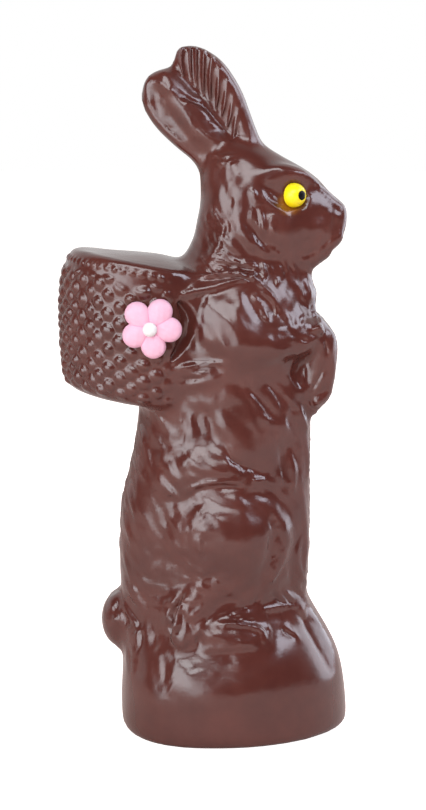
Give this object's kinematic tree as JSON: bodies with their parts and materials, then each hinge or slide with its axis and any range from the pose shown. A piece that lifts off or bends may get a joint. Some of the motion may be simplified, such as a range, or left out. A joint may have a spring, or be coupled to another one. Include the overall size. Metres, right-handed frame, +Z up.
{
  "type": "chocolate bunny",
  "caption": "Moulded chocolate Easter bunny standing on a mound, with a woven basket on its back, domed candy eyes and an icing flower stuck to the basket.",
  "frame": {"origin": "centre of the bounding box at the flat underside of the mound, on the surface the bunny stands on", "axes": "+X is the way the bunny looks, +Y is its left side, and +Z is up through the ears. The two mould halves meet in the plane Y = 0."},
  "size_m": [0.128, 0.0916, 0.3],
  "materials": {
    "chocolate": "glossy moulded dark milk chocolate with fine fur lines",
    "yellow_icing": "smooth satin yellow royal icing",
    "black_icing": "smooth black icing",
    "pink_icing": "dry matt pale pink royal icing",
    "white_icing": "dry matt white royal icing"
  },
  "bodies": {
    "root": {"bunny": "chocolate", "right_eye": "yellow_icing", "left_eye": "yellow_icing", "right_pupil": "black_icing", "left_pupil": "black_icing", "icing_flower": "pink_icing", "flower_centre": "white_icing"}
  },
  "joints": []
}
